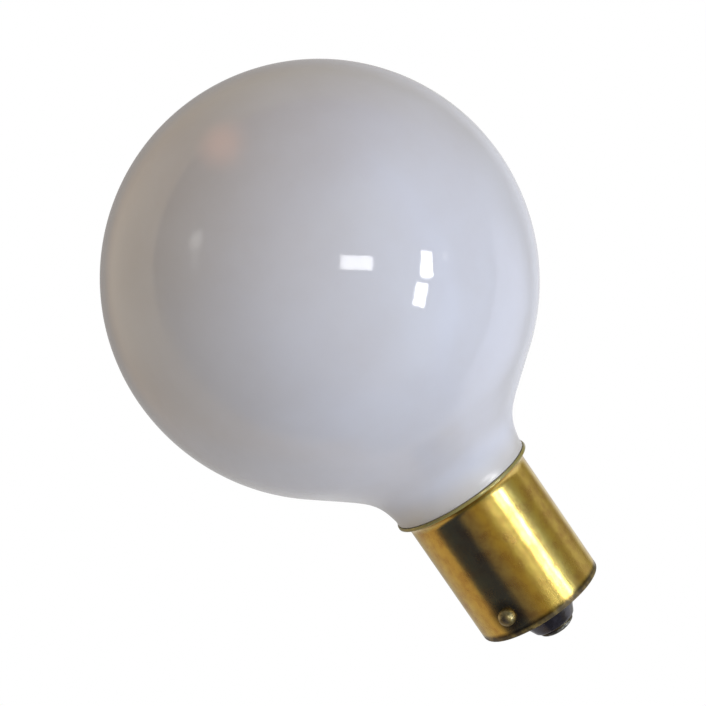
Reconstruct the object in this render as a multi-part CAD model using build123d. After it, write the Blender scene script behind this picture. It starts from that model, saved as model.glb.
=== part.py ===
from build123d import *
import os
from math import acos, atan, cos, degrees, radians, sin, tan

# Vanity bulb: an opal glass globe on a single-contact bayonet cap of 15 mm
# Millimetres. Z is the lamp's axis, with the globe up. The origin is on the axis, level with
# the bayonet pins, which lie along Y.

# Cap shell, drawn from sheet with a flared lip and an open floor
shell_radius = 7.55
shell_wall = 0.4
shell_corner_radius = 0.45
floor_opening_radius = 5.0
lip_above_pins = 13.5
flare_radius = 1.1
flare_angle = 82.0
lip_edge_round = 0.12

# Bayonet pins, with a shoulder on the shell outside and a rivet head inside
pin_radius = 1.0
pin_shank_radius = 0.8
pin_stand_out = 1.05
pin_tip_round = 0.6
pin_head_radius = 1.5
pin_head_height = 0.4
pin_hole_clearance = 0.02

# Insulator, a glass web inside the shell and a blunt cone below it
pin_head_clearance = 0.2
insulator_web = 0.65
insulator_foot_radius = 3.9
insulator_foot_round = 0.5
insulator_end_radius = 2.45
insulator_end_round = 0.4
insulator_drop = 2.9

# Centre contact, a plate with a dome of solder
plate_margin = 0.05
plate_thickness = 0.25
solder_margin = 0.12
solder_side_height = 0.15
solder_height = 0.6
crown_radius = 0.9

# Glass bulb, from the globe down to the sealed end of the neck
globe_radius = 24.05
globe_stretch = 0.4
shoulder_angle = 49.5
neck_fillet = 5.5
lip_overhang = 0.2
seat_radius = 0.85
neck_clearance = 0.15
neck_taper = 4.0
neck_end_above_pins = 4.0
neck_end_round = 1.0
exhaust_tip_radius = 1.3
exhaust_tip_straight = 0.7
exhaust_tip_root = 0.4

# Cement between neck and shell
cement_above_neck_end = 1.5
cement_below_flare = 0.6

# Lead wires inside the cap
lead_radius = 0.25
lead_from_tip = 0.9
lead_bend = 0.8
lead_hole_clearance = 0.3
plate_hole_clearance = 0.05
side_lead_drop = 1.8
centre_lead_entry = 1.2

# Heights and radii of the cap that follow from the sizes above
shell_inner_radius = shell_radius - shell_wall
insulator_top = -(pin_head_radius + pin_head_clearance)
floor_top = insulator_top - insulator_web
shell_bottom = floor_top - shell_wall
insulator_end = shell_bottom - insulator_drop
flare_centre_radius = shell_radius + flare_radius
flare_start = lip_above_pins - flare_radius * sin(radians(flare_angle))
lip_radius = flare_centre_radius - flare_radius * cos(radians(flare_angle))
lead_hole_radius = lead_radius + lead_hole_clearance

# Contact sizes, which follow the flat that the insulator's rounded end leaves
cone_flank_angle = degrees(atan((insulator_foot_radius - insulator_end_radius) / insulator_drop))
end_flat_radius = insulator_end_radius - insulator_end_round * tan(radians(90 - cone_flank_angle) / 2)
plate_radius = end_flat_radius - plate_margin
plate_bottom = insulator_end - plate_thickness
solder_radius = plate_radius - solder_margin
crown = plate_bottom - solder_height

# Neck: its seat follows the inside of the flare and turns up into the waist just inside the lip
waist_radius = lip_radius - lip_overhang
seat_sweep = flare_radius + shell_wall + neck_clearance
seat_angle = degrees(
    acos((flare_centre_radius + seat_radius - waist_radius) / (seat_sweep + seat_radius))
)
waist_height = flare_start + (seat_sweep + seat_radius) * sin(radians(seat_angle))
taper_start_radius = flare_centre_radius - seat_sweep * cos(radians(neck_taper))
taper_start_height = flare_start + seat_sweep * sin(radians(neck_taper))
tip_dome_height = neck_end_above_pins - exhaust_tip_straight
tip_end = tip_dome_height - exhaust_tip_radius

# Globe: a hemisphere above, a half ellipse below, and a cone at the shoulder down to the neck
globe_depth = globe_radius + globe_stretch
shoulder_turn = degrees(atan(globe_depth / globe_radius * tan(radians(shoulder_angle))))
shoulder_radius = globe_radius * cos(radians(shoulder_turn))
shoulder_foot_radius = waist_radius + neck_fillet * (1 - cos(radians(shoulder_angle)))
shoulder_height = (shoulder_radius - shoulder_foot_radius) / tan(radians(shoulder_angle))
shoulder_foot = waist_height + neck_fillet * sin(radians(shoulder_angle))
globe_centre = shoulder_foot + shoulder_height + globe_depth * sin(radians(shoulder_turn))


def neck_radius(height):
    """Radius of the tapered neck at a height."""
    return taper_start_radius - (taper_start_height - height) * tan(radians(neck_taper))


def corner(radius, height):
    """Vertex of the half section being drawn that is nearest to a radius and a height."""
    return vertices().sort_by_distance((radius, height))[0]


def glass_bulb():
    """Blown globe, shoulder and neck with the sealed exhaust tip, filled because it is sealed."""
    down = (0, -1)
    neck_end_radius = neck_radius(neck_end_above_pins)
    with BuildPart() as bulb:
        with BuildSketch(Plane.XZ):
            with BuildLine():
                CenterArc((0, globe_centre), globe_radius, 0, 90)
                EllipticalCenterArc(
                    (0, globe_centre), globe_radius, globe_depth, 0, arc_size=-shoulder_turn
                )
                Line(
                    (shoulder_radius, shoulder_foot + shoulder_height),
                    (shoulder_foot_radius, shoulder_foot),
                )
                CenterArc(
                    (waist_radius + neck_fillet, waist_height), neck_fillet, 180, -shoulder_angle
                )
                seat = JernArc((waist_radius, waist_height), down, seat_radius, -seat_angle)
                hollow = JernArc(seat @ 1, seat % 1, seat_sweep, seat_angle - neck_taper)
                Polyline(
                    hollow @ 1,
                    (neck_end_radius, neck_end_above_pins),
                    (exhaust_tip_radius, neck_end_above_pins),
                    (exhaust_tip_radius, tip_dome_height),
                )
                CenterArc((0, tip_dome_height), exhaust_tip_radius, 0, -90)
                Line((0, tip_end), (0, globe_centre + globe_radius))
            make_face()
            fillet(corner(neck_end_radius, neck_end_above_pins), neck_end_round)
            fillet(corner(exhaust_tip_radius, neck_end_above_pins), exhaust_tip_root)
        revolve(axis=Axis.Z)
    return bulb.part


def cap_shell():
    """Drawn brass shell: flared lip, straight wall, rounded bottom corner and open floor."""
    flare_turn = 180 - flare_angle
    flare_centre = (flare_centre_radius, flare_start)
    outer_lip = (lip_radius, lip_above_pins)
    inner_lip = (
        lip_radius - shell_wall * cos(radians(flare_angle)),
        lip_above_pins + shell_wall * sin(radians(flare_angle)),
    )
    with BuildPart() as shell:
        with BuildSketch(Plane.XZ):
            with BuildLine():
                CenterArc(flare_centre, flare_radius, flare_turn, flare_angle)
                Polyline(
                    (shell_radius, flare_start),
                    (shell_radius, shell_bottom),
                    (floor_opening_radius, shell_bottom),
                    (floor_opening_radius, floor_top),
                    (shell_inner_radius, floor_top),
                    (shell_inner_radius, flare_start),
                )
                CenterArc(flare_centre, flare_radius + shell_wall, flare_turn, flare_angle)
                Line(inner_lip, outer_lip)
            make_face()
            fillet(corner(shell_radius, shell_bottom), shell_corner_radius)
            fillet(corner(*outer_lip), lip_edge_round)
            fillet(corner(*inner_lip), lip_edge_round)
        revolve(axis=Axis.Z)
        with Locations(Rotation(90, 0, 0)):
            Cylinder(pin_shank_radius + pin_hole_clearance, 4 * shell_radius, mode=Mode.SUBTRACT)
    return shell.part


def bayonet_pin(side):
    """Shouldered pin that stands out of the shell along Y and is riveted over inside it."""
    head_start = shell_inner_radius - pin_head_height
    tip = shell_radius + pin_stand_out
    outward = Plane((0, side * head_start, 0), x_dir=(1, 0, 0), z_dir=(0, side, 0))
    trim_height = 4 * pin_head_radius
    head = extrude(outward * Circle(pin_head_radius), pin_head_height)
    head = head & Cylinder(shell_inner_radius, trim_height)
    shank = extrude(outward * Circle(pin_shank_radius), tip - pin_tip_round - head_start)
    body = extrude(outward * Circle(pin_radius), tip - head_start)
    end_face = body.faces().sort_by(Axis.Y)[0 if side < 0 else -1]
    body = fillet(end_face.edges(), pin_tip_round) - Cylinder(shell_radius, trim_height)
    return head + shank + body


def cap_insulator():
    """Black glass web inside the shell, with the blunt cone that carries the contact."""
    with BuildPart() as insulator:
        with BuildSketch(Plane.XZ):
            with BuildLine():
                Polyline(
                    (lead_hole_radius, insulator_top),
                    (shell_inner_radius, insulator_top),
                    (shell_inner_radius, floor_top),
                    (floor_opening_radius, floor_top),
                    (floor_opening_radius, shell_bottom),
                    (insulator_foot_radius, shell_bottom),
                    (insulator_end_radius, insulator_end),
                    (lead_hole_radius, insulator_end),
                    close=True,
                )
            make_face()
            fillet(corner(insulator_foot_radius, shell_bottom), insulator_foot_round)
            fillet(corner(insulator_end_radius, insulator_end), insulator_end_round)
        revolve(axis=Axis.Z)
    return insulator.part


def contact_plate():
    """Thin disc on the insulator's end, pierced for the centre lead."""
    with BuildPart() as plate:
        with BuildSketch(Plane.XY.offset(plate_bottom)):
            Circle(plate_radius)
            Circle(lead_radius + plate_hole_clearance, mode=Mode.SUBTRACT)
        extrude(amount=plate_thickness)
    return plate.part


def contact_solder():
    """Dome of solder on the plate, worn to a small flat crown."""
    shoulder = plate_bottom - solder_side_height
    with BuildPart() as solder:
        with BuildSketch(Plane.XZ):
            with BuildLine():
                Polyline(
                    (0, crown),
                    (0, plate_bottom),
                    (solder_radius, plate_bottom),
                    (solder_radius, shoulder),
                )
                TangentArc((crown_radius, crown), (solder_radius, shoulder), tangent=(1, 0))
                Line((crown_radius, crown), (0, crown))
            make_face()
        revolve(axis=Axis.Z)
    return solder.part


def basing_cement():
    """Ring of cement that fills the space between the tapered neck and the shell."""
    bottom = neck_end_above_pins + cement_above_neck_end
    top = flare_start - cement_below_flare
    with BuildPart() as cement:
        with BuildSketch(Plane.XZ):
            with BuildLine():
                Polyline(
                    (neck_radius(bottom), bottom),
                    (shell_inner_radius, bottom),
                    (shell_inner_radius, top),
                    (neck_radius(top), top),
                    close=True,
                )
            make_face()
        revolve(axis=Axis.Z)
    return cement.part


def lead_wire(*points):
    """Round wire along straight runs in the XZ plane, with bends between them."""
    with BuildPart() as wire:
        with BuildLine() as route:
            FilletPolyline(*[(x, 0, z) for x, z in points], radius=lead_bend)
        with BuildSketch(Plane(route.line @ 0, z_dir=route.line % 0)):
            Circle(lead_radius)
        sweep(path=route.line)
    return wire.part


def centre_lead():
    """Wire from the neck's end, past the exhaust tip and through the insulator to the solder."""
    start = exhaust_tip_radius + lead_from_tip
    return lead_wire(
        (start, neck_end_above_pins),
        (start, tip_end),
        (0, insulator_top + centre_lead_entry),
        (0, plate_bottom),
    )


def side_lead():
    """Wire from the neck's end to the inside of the shell, where it is welded."""
    start = -(exhaust_tip_radius + lead_from_tip)
    height = neck_end_above_pins - side_lead_drop
    wire = lead_wire((start, neck_end_above_pins), (start, height), (-shell_radius, height))
    inside_shell = Cylinder(shell_inner_radius, 4 * neck_end_above_pins)
    return wire & inside_shell


nodes = {
    "glass_bulb": glass_bulb(),
    "cap_shell": cap_shell(),
    "bayonet_pin_front": bayonet_pin(-1),
    "bayonet_pin_rear": bayonet_pin(1),
    "cap_insulator": cap_insulator(),
    "contact_plate": contact_plate(),
    "contact_solder": contact_solder(),
    "basing_cement": basing_cement(),
    "centre_lead": centre_lead(),
    "side_lead": side_lead(),
}

os.makedirs("parts", exist_ok=True)
for name, solid in nodes.items():
    export_step(solid, f"parts/{name}.step")
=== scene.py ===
from math import acos, atan, cos, hypot, pi, radians, sin, tan

import bmesh
import bpy
from bpy.props import FloatProperty, FloatVectorProperty, PointerProperty
from bpy.types import NodeSocket, Operator, Panel, PropertyGroup
from mathutils import Matrix, Vector


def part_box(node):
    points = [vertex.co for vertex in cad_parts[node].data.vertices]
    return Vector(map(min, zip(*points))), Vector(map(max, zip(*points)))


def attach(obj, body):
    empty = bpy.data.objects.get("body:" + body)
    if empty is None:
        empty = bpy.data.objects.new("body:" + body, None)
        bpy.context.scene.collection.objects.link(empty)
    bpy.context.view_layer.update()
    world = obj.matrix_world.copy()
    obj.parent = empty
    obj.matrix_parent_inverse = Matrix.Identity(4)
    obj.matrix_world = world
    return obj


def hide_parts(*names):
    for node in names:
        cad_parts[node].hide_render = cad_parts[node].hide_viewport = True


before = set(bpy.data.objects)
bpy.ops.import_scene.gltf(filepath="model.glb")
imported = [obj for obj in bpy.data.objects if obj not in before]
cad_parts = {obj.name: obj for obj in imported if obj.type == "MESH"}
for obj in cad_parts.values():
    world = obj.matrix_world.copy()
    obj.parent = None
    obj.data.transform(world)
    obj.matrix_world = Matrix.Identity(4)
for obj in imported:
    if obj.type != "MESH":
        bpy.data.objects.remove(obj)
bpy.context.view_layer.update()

bl_info = {
    "name": "Vanity Bulb",
    "version": (1, 0, 0),
    "blender": (4, 5, 0),
    "location": "View3D > Sidebar > Vanity Bulb",
    "description": "Models and finishes an opal globe lamp on a brass bayonet cap",
    "category": "Object",
}

BODY = "root"
MM = 0.001

# Fineness of the meshes
GLOBE_SEGMENTS = 160
GLOBE_RINGS = 120
TURNED_SEGMENTS = 128
STUD_SEGMENTS = 64
FLOOR_SEGMENTS = 96
ROOM_SEGMENTS = 48
ROOM_RINGS = 24
NECK_PASSES = 24
MERGE_DISTANCE = 0.001 * MM
RING_TOLERANCE = 0.02 * MM
CUT_TOLERANCE = 0.01 * MM
SHARP_ANGLE = radians(35)

# How far a pin's shank runs into its body, and the gap between its riveted head and the wall
SHANK_BURIED = 0.2 * MM
HEAD_GAP = 0.05 * MM

# Where finishes set in and where they are full: heights above the pins, and distances from the pins' axis
# The glass's tint beside the cap is painted shade and a painted warm bounce from the brass
CAP_SHADE_ON_GLASS = (17.6 * MM, 14.0 * MM)
NECK_SATIN = (25.0 * MM, 18.0 * MM)
# The lip's olive colour is painted shade
LIP_PAINTED_SHADE = (13.38 * MM, 13.52 * MM)
# The foot's dark brown is painted shade, growing towards the bottom corner
FOOT_PAINTED_SHADE = (-1.5 * MM, -2.1 * MM)
FOOT_CRUST = (-1.95 * MM, -2.45 * MM)
HANDLED = (6.0 * MM, -2.0 * MM)
# The dark brown round the pins is their painted shadow
PIN_PAINTED_SHADOW = (2.6 * MM, 1.2 * MM)

# Glass: roughness where it is clean and where it is smeared, roughness of the neck, and refraction
GLASS_SHINE = (0.05, 0.09)
SATIN_ROUGHNESS = 0.265
GLASS_IOR = 1.5

# Brass: what drawn lines, tarnish, crust and handling add to its roughness, and how far the crust and the
# painted shade cover it
LINES_ROUGHNESS = 0.02
TARNISH_ROUGHNESS = 0.08
CRUST_ROUGHNESS = 0.4
HANDLED_ROUGHNESS = 0.03
CRUST_AND_SHADE_COVER = (0.6, 1.0)
PIN_SHADOW_COVER = 0.65
LIP_DULLNESS = 0.65
FULL_DULLNESS = 0.9

# Distance of the windows and of the room's walls from the globe
WINDOW_DISTANCE = 0.8
ROOM_DISTANCE = 1.0

# Light of the walls, which only gloss shows: turn from the camera in degrees, right positive, and colour
WALLS = (
    (-90.0, (0.34, 0.28, 0.23)),  # beside the table
    (-83.0, (0.034, 0.048, 0.14)),  # dark wall
    (-42.0, (0.034, 0.044, 0.14)),
    (-26.0, (0.22, 0.19, 0.20)),  # doorway
    (0.0, (0.37, 0.29, 0.14)),  # behind the camera
    (20.0, (0.45, 0.44, 0.30)),  # pale wall
    (40.0, (0.75, 0.85, 0.85)),  # round the windows
    (64.0, (0.8, 0.98, 1.3)),
    (77.0, (0.38, 0.40, 0.33)),  # dim corner
    (90.0, (0.33, 0.29, 0.15)),  # beside the table
)

# Ceiling and underside, each with the rise between which it takes over
CEILING, CEILING_RISE = (0.14, 0.12, 0.12), (0.3, 0.65)
UNDERSIDE, UNDERSIDE_RISE = (0.10, 0.10, 0.08), (-0.88, -0.97)

# Table: colours at the left and the right, the turn between them, its lean to the right and up, and its edge
TABLE_LEFT, TABLE_RIGHT = (0.56, 0.42, 0.29), (0.36, 0.31, 0.14)
TABLE_TURN = (-0.5, 0.5)
TABLE_LEAN = (0.076, 0.12)
TABLE_EDGE = (-0.11, -0.17)

# Shade behind the lamp: colours, the way from the left one to the right one, its turn, and where it sets in
SHADE_LEFT, SHADE_RIGHT = (0.33, 0.31, 0.29), (0.82, 0.82, 0.83)
SHADE_WAY = (0.94, -0.34, 0.0)
SHADE_TURN = (-0.35, 0.35)
SHADE_DEPTH = (-0.7, -0.92)

# Lit patches of the table: right and up from the camera in degrees, cosine at the rim, colour
TABLE_PATCHES = (
    (108.0, -14.0, 0.78, (1.02, 1.01, 1.04)),
    (-112.0, 4.0, 0.78, (0.85, 0.70, 0.52)),
    (-171.0, -46.0, 0.82, (0.55, 0.53, 0.55)),
)
PATCH_HEART = 0.97

# Bright things that gloss shows: right and up from the camera, width, height and lean in degrees, colour
WINDOWS = (
    ("window", 18.9, 7.7, 18.4, 7.4, 4.0, (11.0, 11.0, 11.0)),
    ("side_window_upper", 56.0, 6.5, 6.4, 12.2, 5.0, (26.0, 26.0, 26.0)),
    ("side_window_lower", 52.3, -6.5, 6.8, 11.4, 12.0, (26.0, 26.0, 26.0)),
    ("far_window", 67.0, 9.5, 6.0, 5.4, 0.0, (3.0, 3.0, 3.0)),
    ("left_glint", -67.5, 16.0, 12.5, 14.4, 0.0, (2.3, 2.3, 2.2)),
    ("left_glint_tail", -66.5, 8.6, 8.4, 16.0, 0.0, (0.8, 0.8, 0.75)),
    ("warm_glow", -94.5, 54.0, 46.0, 24.0, 0.0, (1.9, 0.75, 0.3)),
)

# Panes with a sharp edge, and the share of its half width where a sharp and a soft pane start to fade
SHARP = ("window", "side_window_upper", "side_window_lower")
SHARP_RIM, SOFT_RIM = 0.78, 0.1

# Lamps: place to the right, up and towards the camera from the globe's centre, and width and height
KEY_PLACE, KEY_SPAN = (0.44, -0.04, 0.48), (0.7, 0.8)
FILL_PLACE, FILL_SPAN = (-0.26, 0.46, 0.38), (0.6, 0.6)

# Start of the camera's view, turn of the surround from front to rear, and the floor's fade, colour and lift
CAMERA_CLIP = 10 * MM
SURROUND_TURN = (0.3, -0.3)
FLOOR_FADE = (0.35, 0.97)
FLOOR_COLOUR = (0.9, 0.9, 0.9)
FLOOR_LIFT = 0.42


# Measures of the frame's nodes

def bottom(node):
    """Lowest height of a node of the frame."""
    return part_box(node)[0].z


def top(node):
    """Greatest height of a node of the frame."""
    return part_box(node)[1].z


def reach(node):
    """Greatest distance of a node of the frame from the lamp's axis, along X."""
    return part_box(node)[1].x


# Settings that a user can change

def size(name, description, default):
    """A length, in metres."""
    return FloatProperty(
        name=name, description=description, default=default, precision=5, unit="LENGTH", subtype="DISTANCE"
    )


def angle(name, description, default):
    """An angle, given in degrees."""
    return FloatProperty(name=name, description=description, default=radians(default), subtype="ANGLE")


def colour(name, description, default):
    """A colour."""
    return FloatVectorProperty(
        name=name, description=description, default=default, size=3, min=0.0, max=1.0, subtype="COLOR"
    )


def level(name, description, default):
    """A strength."""
    return FloatProperty(name=name, description=description, default=default, min=0.0)


class GlassSizes(PropertyGroup):
    """Sizes of the blown globe, its shoulder and its sealed neck"""

    globe_radius: size("Globe radius", "Half of the globe's width", reach("glass_bulb"))
    globe_top: size("Globe top", "Height of the globe's crown above the pins", top("glass_bulb"))
    globe_stretch: size("Globe stretch", "How much deeper than round the lower half is", 0.4 * MM)
    shoulder_angle: angle("Shoulder angle", "Slope of the shoulder, from the axis", 49.5)
    neck_fillet: size("Neck fillet", "Radius between the shoulder and the waist", 5.5 * MM)
    lip_overhang: size("Lip overhang", "How far the cap's lip stands out past the waist", 0.2 * MM)
    waist_height: size("Waist height", "Height above the pins where the fillet ends", 14.6 * MM)
    seat_radius: size("Seat radius", "Radius where the waist turns in to its seat", 0.15 * MM)
    neck_clearance: size("Neck clearance", "Gap between the neck and the cap's flare", 0.03 * MM)
    neck_taper: angle("Neck taper", "Slope of the neck inside the cap", 4.0)
    neck_end: size("Neck end", "Height of the sealed end above the pins", 4.0 * MM)
    neck_end_round: size("Neck end round", "Radius round the sealed end", 1.0 * MM)
    tip_radius: size("Exhaust tip radius", "Radius of the sealed exhaust tip", 1.3 * MM)
    tip_root: size("Exhaust tip root", "Radius where the exhaust tip leaves the neck", 0.4 * MM)


class CapSizes(PropertyGroup):
    """Sizes of the drawn shell and its bayonet pins"""

    shell_radius: size("Shell radius", "Outer radius of the straight wall", 7.55 * MM)
    shell_wall: size("Shell wall", "Thickness of the sheet", 0.4 * MM)
    corner_round: size("Corner round", "Outer radius of the bottom corner", 0.45 * MM)
    floor_opening: size("Floor opening", "Radius of the hole in the floor", 5.0 * MM)
    lip_height: size("Lip height", "Height of the lip's outer edge above the pins", 13.5 * MM)
    flare_radius: size("Flare radius", "Radius of the flare below the lip", 1.1 * MM)
    flare_angle: angle("Flare angle", "How far the flare turns out", 82.0)
    lip_edge_round: size("Lip edge round", "Radius on the lip's cut edge", 0.12 * MM)
    pin_radius: size("Pin radius", "Radius of a pin outside the shell", 1.0 * MM)
    pin_shank_radius: size("Pin shank radius", "Radius of a pin in the wall", 0.8 * MM)
    pin_tip_round: size("Pin tip round", "Radius round a pin's end", 0.9 * MM)
    pin_head_radius: size("Pin head radius", "Radius of the riveted head inside", 1.5 * MM)
    pin_head_height: size("Pin head height", "Height of the riveted head inside", 0.4 * MM)
    pin_hole_clearance: size("Pin hole clearance", "Gap round a pin in the wall", 0.02 * MM)


class ContactSizes(PropertyGroup):
    """Sizes of the insulator, the contact plate and the solder on it"""

    foot_radius: size("Foot radius", "Radius of the cone where it leaves the shell", 3.9 * MM)
    foot_round: size("Foot round", "Hollow radius round the cone's foot", 0.5 * MM)
    end_radius: size("End radius", "Radius of the cone's blunt end", 2.45 * MM)
    end_round: size("End round", "Radius round the cone's blunt end", 0.4 * MM)
    lead_hole: size("Lead hole", "Radius of the hole for the lead", 0.55 * MM)
    plate_hole: size("Plate hole", "Radius of the hole in the plate", 0.3 * MM)
    plate_edge_round: size("Plate edge round", "Radius on the plate's edge", 0.06 * MM)
    solder_side: size("Solder side", "Height of the solder's upright side", 0.15 * MM)
    crown_radius: size("Crown radius", "Radius of the worn flat on the solder", 0.9 * MM)


class FinishColours(PropertyGroup):
    """Colours of the lamp's surfaces"""

    opal: colour("Opal", "Body colour of the opal glass", (0.68, 0.69, 0.75))
    opal_thin: colour("Thin opal", "Colour where the opal layer is thinner", (0.645, 0.645, 0.69))
    # Painted shade and a painted warm bounce from the brass, laid on the glass beside the cap
    opal_cap_shade: colour("Opal edge", "Colour of the glass beside the cap", (0.65, 0.62, 0.59))
    brass: colour("Brass", "Clean brass of the shell", (0.71, 0.53, 0.14))
    tarnish: colour("Tarnish", "Brown tarnish on the brass", (0.42, 0.23, 0.07))
    # Painted shade: a dull olive colour laid on the lip of the brass
    lip_painted_shade: colour("Grime", "Dull olive grime on the lip of the brass", (0.32, 0.28, 0.10))
    # Painted shade on the foot, darkest at the bottom corner, and painted shadow round the pins
    foot_and_pin_shade: colour("Soot", "Dark brown soot on the foot and round the pins", (0.075, 0.055, 0.025))
    pin_brass: colour("Pin brass", "Darkened brass of the pins", (0.46, 0.39, 0.20))
    pin_tarnish: colour("Pin tarnish", "Dark tarnish on the pins", (0.10, 0.075, 0.03))
    plate_brass: colour("Plate brass", "Pressed brass of the contact plate", (0.16, 0.13, 0.08))
    black_glass: colour("Black glass", "Moulded glass of the insulator", (0.014, 0.012, 0.018))
    black_glass_bloom: colour("Bloom", "Greyish bloom on the black glass", (0.035, 0.033, 0.045))
    solder: colour("Solder", "Dull solder", (0.30, 0.30, 0.29))
    flux: colour("Flux", "Dark flux left round the solder", (0.035, 0.038, 0.030))
    cement: colour("Cement", "Baked basing cement", (0.52, 0.47, 0.39))
    wire: colour("Wire", "Drawn nickel wire", (0.60, 0.58, 0.55))


class StageSettings(PropertyGroup):
    """Camera, lamps and floor round the lamp"""

    distance: size("Camera distance", "From the camera to the globe's centre", 300.0 * MM)
    azimuth: angle("Camera azimuth", "Turn of the camera round the lamp", 32.0)
    elevation: angle("Camera elevation", "Height of the camera over the globe", 8.5)
    roll: angle("Camera roll", "Lean of the camera about its own axis", 34.45)
    pan: angle("Camera pan", "Turn of the camera to the right of the globe", 0.705)
    tilt: angle("Camera tilt", "Turn of the camera below the globe", 1.56)
    lens: level("Lens", "Focal length in millimetres", 139.1)
    key_power: level("Key power", "Power of the soft key lamp in watts", 4.55)
    fill_power: level("Fill power", "Power of the warm fill lamp in watts", 0.3)
    floor_drop: size("Floor drop", "Distance of the floor below the contact", 50.0 * MM)
    floor_radius: size("Floor radius", "Where the floor has faded out", 90.0 * MM)
    front_light: colour("Front light", "Light from the camera's half of the surround", (0.306, 0.272, 0.2))
    rear_light: colour("Rear light", "Light from the far half of the surround", (0.60, 0.59, 0.61))
    key_colour: colour("Key colour", "Cool tint of the key lamp", (0.725, 0.81, 0.985))
    fill_colour: colour("Fill colour", "Warm tint of the fill lamp", (1.0, 0.5, 0.1))


SETTINGS = {
    "bulb_glass": GlassSizes,
    "bulb_cap": CapSizes,
    "bulb_contact": ContactSizes,
    "bulb_colours": FinishColours,
    "bulb_stage": StageSettings,
}


# Half sections, as rows of radius and height

def on_circle(centre, radius, turn):
    """Point of a circle in the half section."""
    return centre[0] + radius * cos(turn), centre[1] + radius * sin(turn)


def arc(centre, radius, start, end, steps):
    """Stations along an arc, after its first point."""
    return [on_circle(centre, radius, start + (end - start) * step / steps) for step in range(1, steps + 1)]


def run(start, end, steps):
    """Stations along a straight run, after its first point."""
    return [
        tuple(first + (last - first) * step / steps for first, last in zip(start, end))
        for step in range(1, steps + 1)
    ]


def soften(stations, passes):
    """Ease the bends of a row of stations, with its ends kept."""
    for _ in range(passes):
        inner = [
            tuple((low + 2 * middle + high) / 4 for low, middle, high in zip(*trio))
            for trio in zip(stations, stations[1:], stations[2:])
        ]
        stations = [stations[0], *inner, stations[-1]]
    return stations


def flare_centre(cap):
    """Centre of the flare's arc."""
    return cap.shell_radius + cap.flare_radius, cap.lip_height - cap.flare_radius * sin(cap.flare_angle)


# Modelling steps

def clear_selection():
    """Leave edit mode and deselect everything."""
    if bpy.context.object and bpy.context.object.mode != "OBJECT":
        bpy.ops.object.mode_set(mode="OBJECT")
    bpy.ops.object.select_all(action="DESELECT")


def open_piece(name):
    """Name the primitive just added, put its place into its mesh and open it for editing."""
    piece = bpy.context.object
    piece.name = name
    piece.data.name = name
    bpy.ops.object.transform_apply(location=True, rotation=True, scale=True)
    bpy.ops.object.mode_set(mode="EDIT")
    return piece


def start_ring(name, radius, height, segments=TURNED_SEGMENTS):
    """Start a turned piece from a bare circle about the lamp's axis."""
    clear_selection()
    bpy.ops.mesh.primitive_circle_add(
        vertices=segments, radius=radius, fill_type="NOTHING", location=(0, 0, height)
    )
    return open_piece(name)


def cross_rod(cap, radius, segments):
    """Rod along Y through the origin, twice as long as the shell is wide, as a tool for cutting."""
    clear_selection()
    bpy.ops.mesh.primitive_cylinder_add(
        vertices=segments, radius=radius, depth=4 * cap.shell_radius, rotation=(pi / 2, 0, 0)
    )
    return bpy.context.object


def select_points(piece, test):
    """Select the points of a piece that pass a test on their place."""
    bpy.ops.mesh.select_mode(type="VERT")
    bpy.ops.mesh.select_all(action="DESELECT")
    points = bmesh.from_edit_mesh(piece.data)
    for point in points.verts:
        point.select = test(point.co)
    points.select_flush(True)
    bmesh.update_edit_mesh(piece.data)
    if not any(point.select for point in points.verts):
        raise RuntimeError(f"nothing to select on {piece.name}")


def select_ring(piece, radius, height):
    """Select the ring of points at a radius and a height."""
    select_points(
        piece,
        lambda place: abs(place.z - height) < RING_TOLERANCE
        and abs(hypot(place.x, place.y) - radius) < RING_TOLERANCE,
    )


def draw_out(piece, stations):
    """Extrude the selected ring through stations of radius and height about the lamp's axis."""
    for radius, height in stations:
        points = bmesh.from_edit_mesh(piece.data).verts
        ring = [point.co.copy() for point in points if point.select]
        ring_radius = max(hypot(place.x, place.y) for place in ring)
        rise = height - ring[0].z
        bpy.ops.mesh.extrude_region_move(TRANSFORM_OT_translate={"value": (0, 0, rise)})
        share = radius / ring_radius
        bpy.ops.transform.resize(value=(share, share, 1), center_override=(0, 0, height))


def round_ring(piece, ring, radius, turn, steps):
    """Bevel a ring of edges to a radius, where the section turns by an angle."""
    select_ring(piece, *ring)
    bpy.ops.mesh.bevel(
        offset_type="OFFSET", offset=radius * tan(turn / 2), segments=steps, profile=0.5, affect="EDGES"
    )


def close_piece(piece):
    """Merge doubles, face the surface outwards, check that it is closed and shade it."""
    bpy.ops.mesh.select_all(action="SELECT")
    bpy.ops.mesh.remove_doubles(threshold=MERGE_DISTANCE)
    bpy.ops.mesh.normals_make_consistent(inside=False)
    bpy.ops.mesh.select_all(action="DESELECT")
    bpy.ops.mesh.select_non_manifold()
    piece.update_from_editmode()
    if piece.data.total_vert_sel:
        raise RuntimeError(f"{piece.name} isn't a closed surface")
    bpy.ops.object.mode_set(mode="OBJECT")
    bpy.ops.object.shade_smooth_by_angle(angle=SHARP_ANGLE)


def combine(piece, other, operation):
    """Cut another piece out of this one, or join it on, remove the other and shade this one again."""
    clear_selection()
    bpy.context.view_layer.objects.active = piece
    modifier = piece.modifiers.new(operation.title(), "BOOLEAN")
    modifier.operation = operation
    modifier.solver = "EXACT"
    modifier.object = other
    bpy.ops.object.modifier_apply(modifier=modifier.name)
    bpy.data.objects.remove(other)
    piece.select_set(True)
    bpy.ops.object.shade_smooth_by_angle(angle=SHARP_ANGLE)


def hand_over(piece, finish, node):
    """Give a finished piece its material and put it in the place of a node of the frame."""
    piece.data.materials.clear()
    piece.data.materials.append(finish)
    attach(piece, BODY)
    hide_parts(node)


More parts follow.
